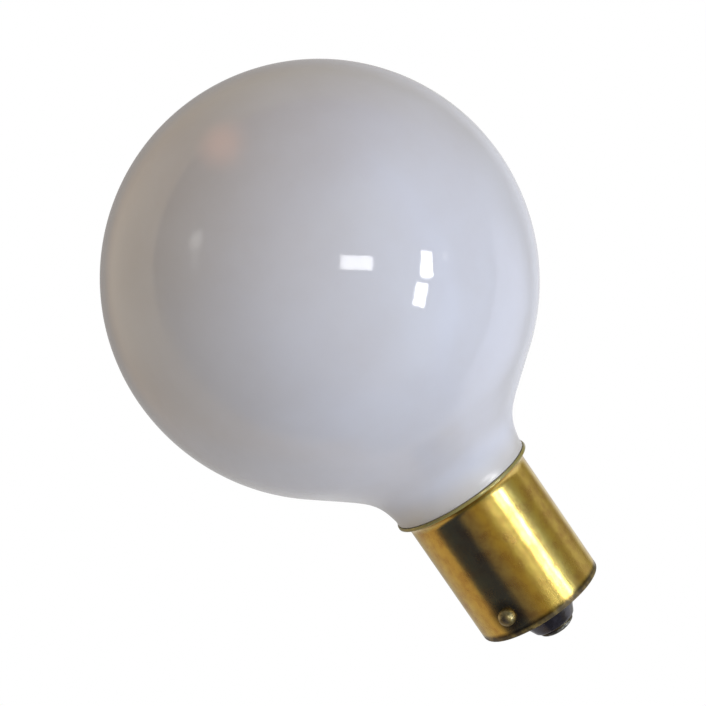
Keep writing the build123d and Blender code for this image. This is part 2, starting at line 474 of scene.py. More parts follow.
def upright_at(place, facing, up):
    """Placing of a lamp or a window with its Z axis along facing and its Y axis towards up."""
    across = up.cross(facing).normalized()
    turn = Matrix((across, facing.cross(across), facing)).transposed().to_4x4()
    return Matrix.Translation(place) @ turn


# Node trees

def blank_tree(owner):
    """Node tree of a material or a world, emptied."""
    owner.use_nodes = True
    owner.node_tree.nodes.clear()
    return owner.node_tree


def fill(tree, node, inputs):
    """Set or link a node's inputs by name or number."""
    for socket, value in inputs.items():
        if isinstance(value, NodeSocket):
            tree.links.new(value, node.inputs[socket])
        else:
            node.inputs[socket].default_value = value


def add_node(tree, kind, inputs=None, **settings):
    """Add a node, set it up and fill its inputs."""
    node = tree.nodes.new(kind)
    for key, value in settings.items():
        setattr(node, key, value)
    fill(tree, node, inputs or {})
    return node


def opaque(shade):
    """A colour with full alpha."""
    return (*shade, 1.0)


def darker(shade, share):
    """A colour at a share of its strength."""
    return tuple(share * part for part in shade)


def mix_colour(tree, factor, first, second):
    """Mix two colours, each a socket or red, green and blue, by a factor."""
    first, second = (end if isinstance(end, NodeSocket) else opaque(end) for end in (first, second))
    return add_node(tree, "ShaderNodeMix", {0: factor, 6: first, 7: second}, data_type="RGBA").outputs[2]


def calc(tree, operation, first, second=0.0):
    """One step of arithmetic."""
    return add_node(tree, "ShaderNodeMath", {0: first, 1: second}, operation=operation).outputs[0]


def vector_calc(tree, operation, first, second=(0.0, 0.0, 0.0)):
    """One step of arithmetic with vectors, as a vector or a value."""
    outputs = add_node(tree, "ShaderNodeVectorMath", {0: first, 1: second}, operation=operation).outputs
    return outputs["Value" if operation in ("LENGTH", "DOT_PRODUCT") else "Vector"]


def remap(tree, value, low, high, to_low=0.0, to_high=1.0):
    """Spread a range of values over another, smoothly and clamped."""
    inputs = {"Value": value, "From Min": low, "From Max": high, "To Min": to_low, "To Max": to_high}
    return add_node(tree, "ShaderNodeMapRange", inputs, interpolation_type="SMOOTHSTEP").outputs["Result"]


def between(tree, mask, low, high):
    """Go smoothly from one value to another with a mask."""
    return remap(tree, mask, 0.0, 1.0, low, high)


def object_place(tree):
    """Place of a surface point in its object's own frame."""
    return add_node(tree, "ShaderNodeTexCoord").outputs["Object"]


def split(tree, vector):
    """X, Y and Z of a vector."""
    return add_node(tree, "ShaderNodeSeparateXYZ", {0: vector}).outputs


def fade_out(tree, shader, fade):
    """Put out a shader that turns clear where a mask is full."""
    clear = add_node(tree, "ShaderNodeBsdfTransparent").outputs[0]
    mixed = add_node(tree, "ShaderNodeMixShader", {0: fade, 1: shader, 2: clear}).outputs[0]
    add_node(tree, "ShaderNodeOutputMaterial", {"Surface": mixed})


def new_group(name, inputs, outputs):
    """Start a shader node group with named inputs, given with their defaults, and named outputs."""
    tree = bpy.data.node_groups.new(name, "ShaderNodeTree")
    for socket, default in inputs.items():
        kind = "NodeSocketFloat" if isinstance(default, float) else "NodeSocketColor"
        tree.interface.new_socket(socket, in_out="INPUT", socket_type=kind).default_value = default
    for socket, kind in outputs.items():
        tree.interface.new_socket(socket, in_out="OUTPUT", socket_type=kind)
    return tree, add_node(tree, "NodeGroupInput").outputs, add_node(tree, "NodeGroupOutput")


def place_group(tree, name, inputs):
    """Place a node group in a tree with its own values."""
    return add_node(tree, "ShaderNodeGroup", inputs, node_tree=bpy.data.node_groups[name]).outputs


def patches(tree, **values):
    """Mask of cloudy patches with its own values."""
    inputs = {name.title(): value for name, value in values.items()}
    return place_group(tree, "Cloudy patches", inputs)["Mask"]


def make_patches_group():
    """Cloudy patches of a given size, as a mask."""
    inputs = {"Size": 3.0 * MM, "Cover": 0.5, "Softness": 0.15, "Offset": 0.0}
    tree, given, result = new_group("Cloudy patches", inputs, {"Mask": "NodeSocketFloat"})
    moved = vector_calc(tree, "ADD", object_place(tree), given["Offset"])
    scale = calc(tree, "DIVIDE", 1.0, given["Size"])
    inputs = {"Vector": moved, "Scale": scale, "Detail": 4.0, "Roughness": 0.55}
    noise = add_node(tree, "ShaderNodeTexNoise", inputs).outputs["Fac"]
    edge = calc(tree, "SUBTRACT", 1.0, given["Cover"])
    low = calc(tree, "SUBTRACT", edge, given["Softness"])
    high = calc(tree, "ADD", edge, given["Softness"])
    fill(tree, result, {"Mask": remap(tree, noise, low, high)})


def make_lines_group():
    """Fine lines drawn along the lamp's axis, as a mask."""
    inputs = {"Width": 0.15 * MM, "Length": 8.0 * MM}
    tree, given, result = new_group("Drawn lines", inputs, {"Mask": "NodeSocketFloat"})
    across = calc(tree, "DIVIDE", 1.0, given["Width"])
    along = calc(tree, "DIVIDE", 1.0, given["Length"])
    grid = add_node(tree, "ShaderNodeCombineXYZ", {"X": across, "Y": across, "Z": along}).outputs[0]
    stretched = vector_calc(tree, "MULTIPLY", object_place(tree), grid)
    inputs = {"Vector": stretched, "Scale": 1.0, "Detail": 3.0, "Roughness": 0.6}
    noise = add_node(tree, "ShaderNodeTexNoise", inputs).outputs["Fac"]
    fill(tree, result, {"Mask": remap(tree, noise, 0.35, 0.65)})


def make_tarnish_group():
    """Brass with soft tarnish and small dark spots, as a colour and a mask."""
    inputs = {
        "Clean": (1.0, 1.0, 1.0, 1.0),
        "Tarnish": (0.5, 0.5, 0.5, 1.0),
        "Patch size": 3.0 * MM,
        "Cover": 0.4,
        "Depth": 0.5,
        "Spots": 0.5,
    }
    outputs = {"Colour": "NodeSocketColor", "Mask": "NodeSocketFloat"}
    tree, given, result = new_group("Brass tarnish", inputs, outputs)
    broad = patches(tree, size=given["Patch size"], cover=given["Cover"], softness=0.22)
    spots = patches(tree, size=0.35 * MM, cover=0.27, softness=0.04, offset=0.013)
    stain = calc(tree, "MULTIPLY", broad, given["Depth"])
    specks = calc(tree, "MULTIPLY", spots, given["Spots"])
    mask = calc(tree, "MAXIMUM", stain, specks)
    shade = mix_colour(tree, mask, given["Clean"], given["Tarnish"])
    fill(tree, result, {"Colour": shade, "Mask": mask})


def make_groups():
    """Build each shared node group once."""
    for name, maker in (
        ("Cloudy patches", make_patches_group),
        ("Drawn lines", make_lines_group),
        ("Brass tarnish", make_tarnish_group),
    ):
        if name not in bpy.data.node_groups:
            maker()


# Finishes

def new_finish(name):
    """Start a material with one surface shader."""
    make_groups()
    finish = bpy.data.materials.new(name)
    tree = blank_tree(finish)
    shader = add_node(tree, "ShaderNodeBsdfPrincipled")
    add_node(tree, "ShaderNodeOutputMaterial", {"Surface": shader.outputs["BSDF"]})
    return finish, tree, shader


def relief(tree, height, depth):
    """Normal of a surface whose height stands out to a given depth."""
    inputs = {"Height": height, "Distance": depth, "Strength": 1.0}
    return add_node(tree, "ShaderNodeBump", inputs).outputs["Normal"]


def opal_glass(colours):
    """Opal glass: white body with faint clouds, glossy and slightly wavy from blowing, satin on the neck,
    with painted shade and a painted warm bounce from the brass beside the cap.
    """
    finish, tree, shader = new_finish("Opal glass")
    height = split(tree, object_place(tree))["Z"]
    clouds = patches(tree, size=9.0 * MM, cover=0.45, softness=0.3)
    body = mix_colour(tree, clouds, colours.opal, colours.opal_thin)
    smears = patches(tree, size=5.0 * MM, cover=0.4, softness=0.25, offset=0.031)
    gloss = between(tree, smears, *GLASS_SHINE)
    satin = remap(tree, height, *NECK_SATIN, GLASS_SHINE[0], SATIN_ROUGHNESS)
    waves = patches(tree, size=7.0 * MM, cover=0.5, softness=0.45, offset=0.017)
    surface = {
        # The tint beside the cap is painted shade and a painted warm bounce from the brass
        "Base Color": mix_colour(tree, remap(tree, height, *CAP_SHADE_ON_GLASS), body, colours.opal_cap_shade),
        "Roughness": calc(tree, "MAXIMUM", gloss, satin),
        "Normal": relief(tree, waves, depth=0.03 * MM),
        "Subsurface Weight": 0.25,
        "Subsurface Radius": (1.0, 0.95, 0.9),
        "Subsurface Scale": 3.0 * MM,
        "IOR": GLASS_IOR,
    }
    fill(tree, shader, surface)
    return finish


def worn_brass(name, clean, tarnish, patch, cover, depth, roughness):
    """Brass with tarnish, shallow dents and uneven gloss."""
    finish, tree, shader = new_finish(name)
    inputs = {
        "Clean": opaque(clean),
        "Tarnish": opaque(tarnish),
        "Patch size": patch,
        "Cover": cover,
        "Depth": depth,
        "Spots": 0.35,
    }
    skin = place_group(tree, "Brass tarnish", inputs)
    lines = place_group(tree, "Drawn lines", {})["Mask"]
    gloss = between(tree, lines, roughness, roughness + LINES_ROUGHNESS)
    dull = calc(tree, "MULTIPLY", skin["Mask"], TARNISH_ROUGHNESS)
    dents = patches(tree, size=3.5 * MM, cover=0.5, softness=0.4, offset=0.007)
    surface = {
        "Base Color": skin["Colour"],
        "Roughness": calc(tree, "ADD", gloss, dull),
        "Metallic": 1.0,
        "Normal": relief(tree, dents, depth=0.02 * MM),
    }
    fill(tree, shader, surface)
    return finish


def cap_brass(colours):
    """Drawn brass of the shell: painted shade on its lip and its foot, and painted shadow round the pins."""
    finish = worn_brass(
        "Cap brass", colours.brass, colours.tarnish,
        patch=1.7 * MM, cover=0.45, depth=0.7, roughness=0.215,
    )
    tree = finish.node_tree
    shader = tree.nodes["Principled BSDF"]
    skin, gloss = (shader.inputs[name].links[0].from_socket for name in ("Base Color", "Roughness"))
    place = object_place(tree)
    height = split(tree, place)["Z"]
    from_pins = vector_calc(tree, "LENGTH", vector_calc(tree, "MULTIPLY", place, (1.0, 0.0, 1.0)))
    blotches = patches(tree, size=0.9 * MM, cover=0.6, softness=0.3, offset=0.041)
    uneven = between(tree, blotches, *CRUST_AND_SHADE_COVER)

    def crust_and_shade(distance, extent, most=1.0):
        """Uneven mask over an extent, for the crust and for the painted shade."""
        return calc(tree, "MULTIPLY", remap(tree, distance, *extent, 0.0, most), uneven)

    # The lip and foot masks lay painted shade; the crust only dulls the brass
    lip, foot, crust = (crust_and_shade(height, extent) for extent in (LIP_PAINTED_SHADE, FOOT_PAINTED_SHADE, FOOT_CRUST))
    # Dark brown painted shade on the foot and painted shadow round the pins
    foot_and_pin_shade = calc(tree, "MAXIMUM", foot, crust_and_shade(from_pins, PIN_PAINTED_SHADOW, PIN_SHADOW_COVER))
    shaded_skin = mix_colour(tree, foot_and_pin_shade, skin, colours.foot_and_pin_shade)
    dull = calc(tree, "MAXIMUM", calc(tree, "MULTIPLY", lip, LIP_DULLNESS), crust)
    handled = remap(tree, height, *HANDLED, 0.0, HANDLED_ROUGHNESS)
    rough = calc(tree, "ADD", calc(tree, "MULTIPLY", crust, CRUST_ROUGHNESS), handled)
    surface = {
        # Olive painted shade on the lip, over the painted shade of the foot and the pins
        "Base Color": mix_colour(tree, lip, shaded_skin, colours.lip_painted_shade),
        "Metallic": remap(tree, dull, 0.0, FULL_DULLNESS, 1.0, 0.0),
        "Roughness": calc(tree, "ADD", gloss, rough),
        "Tangent": add_node(tree, "ShaderNodeTangent", direction_type="RADIAL", axis="Z").outputs[0],
        "Anisotropic": 0.85,
        "Anisotropic Rotation": 0.25,
    }
    fill(tree, shader, surface)
    return finish


def black_glass(colours):
    """Moulded black glass with a grey bloom and shallow ripples."""
    finish, tree, shader = new_finish("Black glass")
    bloom = patches(tree, size=1.2 * MM, cover=0.4, softness=0.2)
    ripples = patches(tree, size=1.6 * MM, cover=0.5, softness=0.4, offset=0.02)
    surface = {
        "Base Color": mix_colour(tree, bloom, colours.black_glass, colours.black_glass_bloom),
        "Roughness": between(tree, bloom, 0.16, 0.34),
        "Normal": relief(tree, ripples, depth=0.04 * MM),
        "IOR": GLASS_IOR,
    }
    fill(tree, shader, surface)
    return finish


def dull_solder(colours):
    """Grey solder with dark flux in its hollows."""
    finish, tree, shader = new_finish("Solder")
    flux = patches(tree, size=0.9 * MM, cover=0.55, softness=0.12)
    lumps = patches(tree, size=0.6 * MM, cover=0.5, softness=0.3, offset=0.02)
    surface = {
        "Base Color": mix_colour(tree, flux, colours.solder, colours.flux),
        "Roughness": between(tree, flux, 0.35, 0.6),
        "Metallic": between(tree, flux, 1.0, 0.2),
        "Normal": relief(tree, lumps, depth=0.05 * MM),
    }
    fill(tree, shader, surface)
    return finish


def baked_cement(colours):
    """Grainy baked cement."""
    finish, tree, shader = new_finish("Basing cement")
    grain = patches(tree, size=0.4 * MM, cover=0.5, softness=0.2)
    surface = {
        "Base Color": mix_colour(tree, grain, colours.cement, darker(colours.cement, 0.6)),
        "Roughness": between(tree, grain, 0.75, 0.9),
        "Normal": relief(tree, grain, depth=0.05 * MM),
    }
    fill(tree, shader, surface)
    return finish


def nickel_wire(colours):
    """Drawn nickel wire with fine lines."""
    finish, tree, shader = new_finish("Lead wire")
    lines = place_group(tree, "Drawn lines", {"Width": 0.05 * MM, "Length": 2.0 * MM})["Mask"]
    surface = {
        "Base Color": mix_colour(tree, lines, colours.wire, darker(colours.wire, 0.75)),
        "Roughness": between(tree, lines, 0.25, 0.4),
        "Metallic": 1.0,
    }
    fill(tree, shader, surface)
    return finish


# Operators, one for each piece or group of like pieces

class BULB_OT_opal_globe(Operator):
    """Blow the globe from a sphere, cut it at the shoulder and draw the neck down from there"""

    bl_idname = "vanity_bulb.opal_globe"
    bl_label = "Opal globe"

    def execute(self, context):
        glass, cap = context.scene.bulb_glass, context.scene.bulb_cap
        radius = glass.globe_radius
        centre = glass.globe_top - radius
        depth = radius + glass.globe_stretch
        turn = atan(depth / radius * tan(glass.shoulder_angle))
        shoulder = (radius * cos(turn), centre - depth * sin(turn))
        clear_selection()
        bpy.ops.mesh.primitive_uv_sphere_add(
            segments=GLOBE_SEGMENTS, ring_count=GLOBE_RINGS, radius=radius, location=(0, 0, centre)
        )
        globe = open_piece("opal_globe")
        select_points(globe, lambda place: place.z < centre)
        bpy.ops.transform.resize(value=(1, 1, depth / radius), center_override=(0, 0, centre))
        bpy.ops.mesh.select_all(action="SELECT")
        bpy.ops.mesh.bisect(plane_co=(0, 0, shoulder[1]), plane_no=(0, 0, 1), clear_inner=True)
        select_points(globe, lambda place: place.z < shoulder[1] + CUT_TOLERANCE)
        draw_out(globe, self.neck(glass, cap, shoulder))
        close_piece(globe)
        hand_over(globe, opal_glass(context.scene.bulb_colours), "glass_bulb")
        return {"FINISHED"}

    def neck(self, glass, cap, shoulder):
        """Stations from the shoulder to the end of the exhaust tip."""
        flare = flare_centre(cap)
        waist_radius = flare[0] - cap.flare_radius * cos(cap.flare_angle) - glass.lip_overhang
        hollow = cap.flare_radius + cap.shell_wall + glass.neck_clearance
        span = hollow + glass.seat_radius
        seat_angle = acos((flare[0] + glass.seat_radius - waist_radius) / span)
        seat = (waist_radius - glass.seat_radius, flare[1] + span * sin(seat_angle))
        fillet = (waist_radius + glass.neck_fillet, glass.waist_height)
        fillet_start = pi - glass.shoulder_angle
        foot = on_circle(fillet, glass.neck_fillet, fillet_start)
        taper_start = on_circle(flare, hollow, pi - glass.neck_taper)
        end_radius = taper_start[0] - (taper_start[1] - glass.neck_end) * tan(glass.neck_taper)
        end_round = glass.neck_end_round
        end_centre = (
            end_radius + end_round * (tan(glass.neck_taper) - 1 / cos(glass.neck_taper)),
            glass.neck_end + end_round,
        )
        taper_end = on_circle(end_centre, end_round, -glass.neck_taper)
        root = (glass.tip_radius + glass.tip_root, glass.neck_end - glass.tip_root)
        tip_dome = (0.0, bottom("glass_bulb") + glass.tip_radius)
        slope = run(shoulder, foot, steps=16) + arc(fillet, glass.neck_fillet, fillet_start, pi, steps=12)
        return (
            soften([shoulder] + slope, NECK_PASSES)[1:]
            + run((waist_radius, glass.waist_height), (waist_radius, seat[1]), steps=2)
            + arc(seat, glass.seat_radius, 0, -seat_angle, steps=6)
            + arc(flare, hollow, pi - seat_angle, pi - glass.neck_taper, steps=8)
            + run(taper_start, taper_end, steps=6)
            + arc(end_centre, end_round, -glass.neck_taper, -pi / 2, steps=6)
            + [(root[0], glass.neck_end)]
            + arc(root, glass.tip_root, pi / 2, pi, steps=4)
            + [(glass.tip_radius, tip_dome[1])]
            + arc(tip_dome, glass.tip_radius, 0, -pi / 2, steps=8)
        )


class BULB_OT_brass_shell(Operator):
    """Draw the brass shell up from its open floor to the flared lip and back down inside"""

    bl_idname = "vanity_bulb.brass_shell"
    bl_label = "Brass shell"

    def execute(self, context):
        cap = context.scene.bulb_cap
        floor_bottom = bottom("cap_shell")
        floor_top = floor_bottom + cap.shell_wall
        flare = flare_centre(cap)
        inner_radius = cap.shell_radius - cap.shell_wall
        inner_flare = cap.flare_radius + cap.shell_wall
        lip_turn = pi - cap.flare_angle
        outer_lip = on_circle(flare, cap.flare_radius, lip_turn)
        inner_lip = on_circle(flare, inner_flare, lip_turn)
        corner = (cap.shell_radius - cap.corner_round, floor_bottom + cap.corner_round)
        shell = start_ring("brass_shell", cap.floor_opening, floor_top)
        draw_out(
            shell,
            [(cap.floor_opening, floor_bottom)]
            + run((cap.floor_opening, floor_bottom), (corner[0], floor_bottom), steps=4)
            + arc(corner, cap.corner_round, -pi / 2, 0, steps=10)
            + run((cap.shell_radius, corner[1]), (cap.shell_radius, flare[1]), steps=36)
            + arc(flare, cap.flare_radius, pi, lip_turn, steps=14)
            + [inner_lip]
            + arc(flare, inner_flare, lip_turn, pi, steps=14)
            + run((inner_radius, flare[1]), (inner_radius, floor_top), steps=12)
            + run((inner_radius, floor_top), (cap.floor_opening, floor_top), steps=3),
        )
        for lip in (outer_lip, inner_lip):
            round_ring(shell, lip, cap.lip_edge_round, pi / 2, steps=4)
        close_piece(shell)
        pin_drill = cross_rod(cap, cap.pin_shank_radius + cap.pin_hole_clearance, STUD_SEGMENTS)
        combine(shell, pin_drill, "DIFFERENCE")
        hand_over(shell, cap_brass(context.scene.bulb_colours), "cap_shell")
        return {"FINISHED"}


class BULB_OT_bayonet_pins(Operator):
    """Turn one bayonet pin, seat it on the shell and copy it to the other side"""

    bl_idname = "vanity_bulb.bayonet_pins"
    bl_label = "Bayonet pins"

    def execute(self, context):
        cap, colours = context.scene.bulb_cap, context.scene.bulb_colours
        front = self.turned_pin(cap)
        front.rotation_euler = (pi / 2, 0, 0)
        bpy.ops.object.transform_apply(location=False, rotation=True, scale=False)
        bpy.ops.object.duplicate()
        rear = context.object
        rear.name = rear.data.name = "pin_rear"
        rear.rotation_euler = (0, 0, pi)
        bpy.ops.object.transform_apply(location=False, rotation=True, scale=False)
        finish = worn_brass(
            "Pin brass", colours.pin_brass, colours.pin_tarnish,
            patch=0.8 * MM, cover=0.45, depth=0.8, roughness=0.40,
        )
        hand_over(front, finish, "bayonet_pin_front")
        hand_over(rear, finish, "bayonet_pin_rear")
        return {"FINISHED"}

    def turned_pin(self, cap):
        """Pin along Z with a domed end, a saddle that fits the shell, and a shank with its riveted head."""
        tip = -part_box("bayonet_pin_front")[0].y
        inner_radius = cap.shell_radius - cap.shell_wall
        head_top, head_end = inner_radius - HEAD_GAP, inner_radius - cap.pin_head_height
        shank_start = cap.shell_radius + SHANK_BURIED
        dome = (cap.pin_radius - cap.pin_tip_round, tip - cap.pin_tip_round)
        pin = start_ring("pin_front", cap.pin_radius, head_end, STUD_SEGMENTS)
        draw_out(
            pin,
            run((cap.pin_radius, head_end), (cap.pin_radius, dome[1]), steps=6)
            + arc(dome, cap.pin_tip_round, 0, pi / 2, steps=12)
            + [(0.5 * dome[0], tip), (0.0, tip)],
        )
        select_ring(pin, cap.pin_radius, head_end)
        draw_out(pin, [(0.0, head_end)])
        close_piece(pin)
        combine(pin, cross_rod(cap, cap.shell_radius, 2 * TURNED_SEGMENTS), "DIFFERENCE")
        shank = start_ring("pin_shank", cap.pin_shank_radius, shank_start, STUD_SEGMENTS)
        draw_out(shank, [(0.0, shank_start)])
        select_ring(shank, cap.pin_shank_radius, shank_start)
        draw_out(
            shank,
            [
                (cap.pin_shank_radius, head_top),
                (cap.pin_head_radius, head_top),
                (cap.pin_head_radius, head_end),
                (0.0, head_end),
            ],
        )
        close_piece(shank)
        combine(pin, shank, "UNION")
        return pin


class BULB_OT_insulator(Operator):
    """Mould the black glass insulator with its blunt cone"""

    bl_idname = "vanity_bulb.insulator"
    bl_label = "Insulator"

    def execute(self, context):
        cap, contact = context.scene.bulb_cap, context.scene.bulb_contact
        web_top, cone_end = top("cap_insulator"), bottom("cap_insulator")
        floor_bottom = bottom("cap_shell")
        floor_top = floor_bottom + cap.shell_wall
        web_radius = cap.shell_radius - cap.shell_wall
        foot, end = (contact.foot_radius, floor_bottom), (contact.end_radius, cone_end)
        flank = atan((foot[0] - end[0]) / (foot[1] - end[1]))
        insulator = start_ring("glass_insulator", contact.lead_hole, web_top)
        draw_out(
            insulator,
            [
                (web_radius, web_top),
                (web_radius, floor_top),
                (cap.floor_opening, floor_top),
                (cap.floor_opening, floor_bottom),
                foot,
            ]
            + run(foot, end, steps=6)
            + [(contact.lead_hole, cone_end), (contact.lead_hole, web_top)],
        )
        round_ring(insulator, foot, contact.foot_round, pi / 2 - flank, steps=5)
        round_ring(insulator, end, contact.end_round, pi / 2 - flank, steps=5)
        close_piece(insulator)
        hand_over(insulator, black_glass(context.scene.bulb_colours), "cap_insulator")
        return {"FINISHED"}


class BULB_OT_centre_contact(Operator):
    """Press the contact plate and melt the solder dome on it"""

    bl_idname = "vanity_bulb.centre_contact"
    bl_label = "Centre contact"

    def execute(self, context):
        contact, colours = context.scene.bulb_contact, context.scene.bulb_colours
        self.plate(contact, colours)
        self.solder(contact, colours)
        return {"FINISHED"}

    def plate(self, contact, colours):
        """Thin disc with a hole for the lead."""
        low, high, radius = bottom("contact_plate"), top("contact_plate"), reach("contact_plate")
        plate = start_ring("contact_disc", contact.plate_hole, high)
        draw_out(
            plate, [(radius, high), (radius, low), (contact.plate_hole, low), (contact.plate_hole, high)]
        )
        for height in (low, high):
            round_ring(plate, (radius, height), contact.plate_edge_round, pi / 2, steps=3)
        close_piece(plate)
        finish = worn_brass(
            "Plate brass", colours.plate_brass, colours.flux,
            patch=1.2 * MM, cover=0.55, depth=0.8, roughness=0.3,
        )
        hand_over(plate, finish, "contact_plate")

    def solder(self, contact, colours):
        """Dome from the plate down to its worn crown."""
        crown, base, radius = bottom("contact_solder"), top("contact_solder"), reach("contact_solder")
        side = base - contact.solder_side
        drop, width = side - crown, radius - contact.crown_radius
        bend = (width * width + drop * drop) / (2 * drop)
        centre = (contact.crown_radius, crown + bend)
        start = acos((bend - drop) / bend)
        solder = start_ring("solder_dome", radius, base)
        draw_out(
            solder,
            [(radius, side)]
            + arc(centre, bend, start - pi / 2, -pi / 2, steps=10)
            + [(0.5 * contact.crown_radius, crown), (0.0, crown)],
        )
        select_ring(solder, radius, base)
        draw_out(solder, [(0.0, base)])
        close_piece(solder)
        hand_over(solder, dull_solder(colours), "contact_solder")


class BULB_OT_inner_pieces(Operator):
    """Finish the cement and the lead wires inside the cap"""

    bl_idname = "vanity_bulb.inner_pieces"
    bl_label = "Inner pieces"

    def execute(self, context):
        colours = context.scene.bulb_colours
        wire = nickel_wire(colours)
        for name, finish in (
            ("basing_cement", baked_cement(colours)),
            ("centre_lead", wire),
            ("side_lead", wire),
        ):
            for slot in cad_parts[name].material_slots:
                slot.material = finish
        return {"FINISHED"}


class BULB_OT_stage(Operator):
    """Set the camera, the soft lamps, the white surround, the room that gloss shows and the floor"""

    bl_idname = "vanity_bulb.stage"
    bl_label = "Stage"

    def execute(self, context):
        stage, glass = context.scene.bulb_stage, context.scene.bulb_glass
        context.scene.view_settings.view_transform = "Standard"
        centre = Vector((0, 0, glass.globe_top - glass.globe_radius))
        upright = Matrix.Rotation(stage.azimuth, 4, "Z") @ Matrix.Rotation(pi / 2 - stage.elevation, 4, "X")
        view = upright @ Matrix.Rotation(-stage.roll, 4, "Z")
        self.camera(context, stage, centre, view)
        self.surround(context, stage, view)
        self.lamps(stage, centre, view)
        self.room(centre, upright, view)
        self.windows(centre, view)
        self.floor(stage)
        return {"FINISHED"}

    def camera(self, context, stage, centre, view):
        """Camera that looks at the globe with a lean."""
        clear_selection()
        bpy.ops.object.camera_add()
        camera = context.object
        camera.data.lens = stage.lens
        camera.data.clip_start = CAMERA_CLIP
        aim = view @ Matrix.Rotation(-stage.pan, 4, "Y") @ Matrix.Rotation(-stage.tilt, 4, "X")
        camera.matrix_world = Matrix.Translation(centre + view.col[2].xyz * stage.distance) @ aim
        context.scene.camera = camera

    def surround(self, context, stage, view):
        """White background that gloss shows too, with a lower light from all round."""
        world = bpy.data.worlds.new("White surround")
        context.scene.world = world
        tree = blank_tree(world)
        path = add_node(tree, "ShaderNodeLightPath").outputs
        gloss = calc(tree, "MAXIMUM", path["Is Glossy Ray"], path["Is Transmission Ray"])
        seen = calc(tree, "MAXIMUM", path["Is Camera Ray"], gloss)
        way = add_node(tree, "ShaderNodeTexCoord").outputs["Generated"]
        near = vector_calc(tree, "DOT_PRODUCT", way, view.col[2].xyz)
        around = mix_colour(tree, remap(tree, near, *SURROUND_TURN), stage.front_light, stage.rear_light)
        light = add_node(tree, "ShaderNodeBackground", {"Color": around, "Strength": 1.0}).outputs[0]
        white = add_node(tree, "ShaderNodeBackground", {"Color": (1, 1, 1, 1), "Strength": 1.0}).outputs[0]
        mixed = add_node(tree, "ShaderNodeMixShader", {0: seen, 1: light, 2: white}).outputs[0]
        add_node(tree, "ShaderNodeOutputWorld", {"Surface": mixed})

    def lamps(self, stage, centre, view):
        """Soft cool key from the right and warm fill from the left, as the camera sees them."""
        for name, place, span, power, tint in (
            ("Key", KEY_PLACE, KEY_SPAN, stage.key_power, stage.key_colour),
            ("Fill", FILL_PLACE, FILL_SPAN, stage.fill_power, stage.fill_colour),
        ):
            offset = view.to_3x3() @ Vector(place)
            clear_selection()
            bpy.ops.object.light_add(type="AREA")
            lamp = bpy.context.object
            lamp.name = name
            lamp.matrix_world = upright_at(centre + offset, offset.normalized(), view.col[1].xyz)
            lamp.data.shape = "RECTANGLE"
            lamp.data.size, lamp.data.size_y = span
            lamp.data.energy = power
            lamp.data.color = tint
            lamp.visible_glossy = False

    def room(self, centre, upright, view):
        """Dim room round the lamp that only its gloss shows."""
        clear_selection()
        bpy.ops.mesh.primitive_uv_sphere_add(
            segments=ROOM_SEGMENTS, ring_count=ROOM_RINGS, radius=ROOM_DISTANCE
        )
        room = bpy.context.object
        room.name = "room"
        room.matrix_world = Matrix.Translation(centre) @ upright
        room.data.materials.append(self.room_light((upright.inverted() @ view).to_3x3()))
        self.gloss_only(room)

    def room_light(self, from_view):
        """Light of the walls, the ceiling, the table and the underside, by direction from the lamp."""
        finish = bpy.data.materials.new("Room light")
        tree = blank_tree(finish)
        way = vector_calc(tree, "NORMALIZE", object_place(tree))
        right, up, near = split(tree, way)
        sides = self.wall_colour(tree, right, near)
        walls = mix_colour(tree, remap(tree, up, *CEILING_RISE), sides, CEILING)
        table = self.table_colour(tree, way, right, near, from_view)
        lean = vector_calc(tree, "DOT_PRODUCT", way, from_view @ Vector((*TABLE_LEAN, 1.0)))
        around = mix_colour(tree, remap(tree, lean, *TABLE_EDGE), walls, table)
        light = mix_colour(tree, remap(tree, up, *UNDERSIDE_RISE), around, UNDERSIDE)
        glow = add_node(tree, "ShaderNodeEmission", {"Color": light, "Strength": 1.0}).outputs[0]
        add_node(tree, "ShaderNodeOutputMaterial", {"Surface": glow})
        return finish

    def wall_colour(self, tree, right, near):
        """Colour of the walls by their turn from the camera."""
        half_turns = calc(tree, "DIVIDE", calc(tree, "ARCTAN2", right, near), pi)
        ramp = add_node(tree, "ShaderNodeValToRGB", {"Fac": calc(tree, "ADD", half_turns, 0.5)})
        ramp.color_ramp.interpolation = "EASE"
        stops = ramp.color_ramp.elements
        while len(stops) < len(WALLS):
            stops.new(0.5)
        for stop, (degrees, tint) in zip(stops, WALLS):
            stop.position = 0.5 + degrees / 180.0
            stop.color = opaque(tint)
        return ramp.outputs["Color"]

    def table_colour(self, tree, way, right, near, from_view):
        """Colour of the table with its lit patches and the shade behind the lamp."""
        table = mix_colour(tree, remap(tree, right, *TABLE_TURN), TABLE_LEFT, TABLE_RIGHT)
        for aside, above, rim, tint in TABLE_PATCHES:
            spread = vector_calc(tree, "DOT_PRODUCT", way, from_view @ self.outward(aside, above))
            table = mix_colour(tree, remap(tree, spread, rim, PATCH_HEART), table, tint)
        across = vector_calc(tree, "DOT_PRODUCT", way, from_view @ Vector(SHADE_WAY))
        shade = mix_colour(tree, remap(tree, across, *SHADE_TURN), SHADE_LEFT, SHADE_RIGHT)
        return mix_colour(tree, remap(tree, near, *SHADE_DEPTH), table, shade)

    def outward(self, aside, above):
        """Direction to the right of and above the camera's, in degrees, in the camera's own frame."""
        turn, rise = radians(aside), radians(above)
        return Vector((sin(turn) * cos(rise), sin(rise), cos(turn) * cos(rise)))

    def gloss_only(self, piece):
        """Make a piece of the stage that only the lamp's gloss shows."""
        piece.visible_camera = False
        piece.visible_diffuse = False
        piece.visible_transmission = False
        piece.visible_volume_scatter = False
        piece.visible_shadow = False

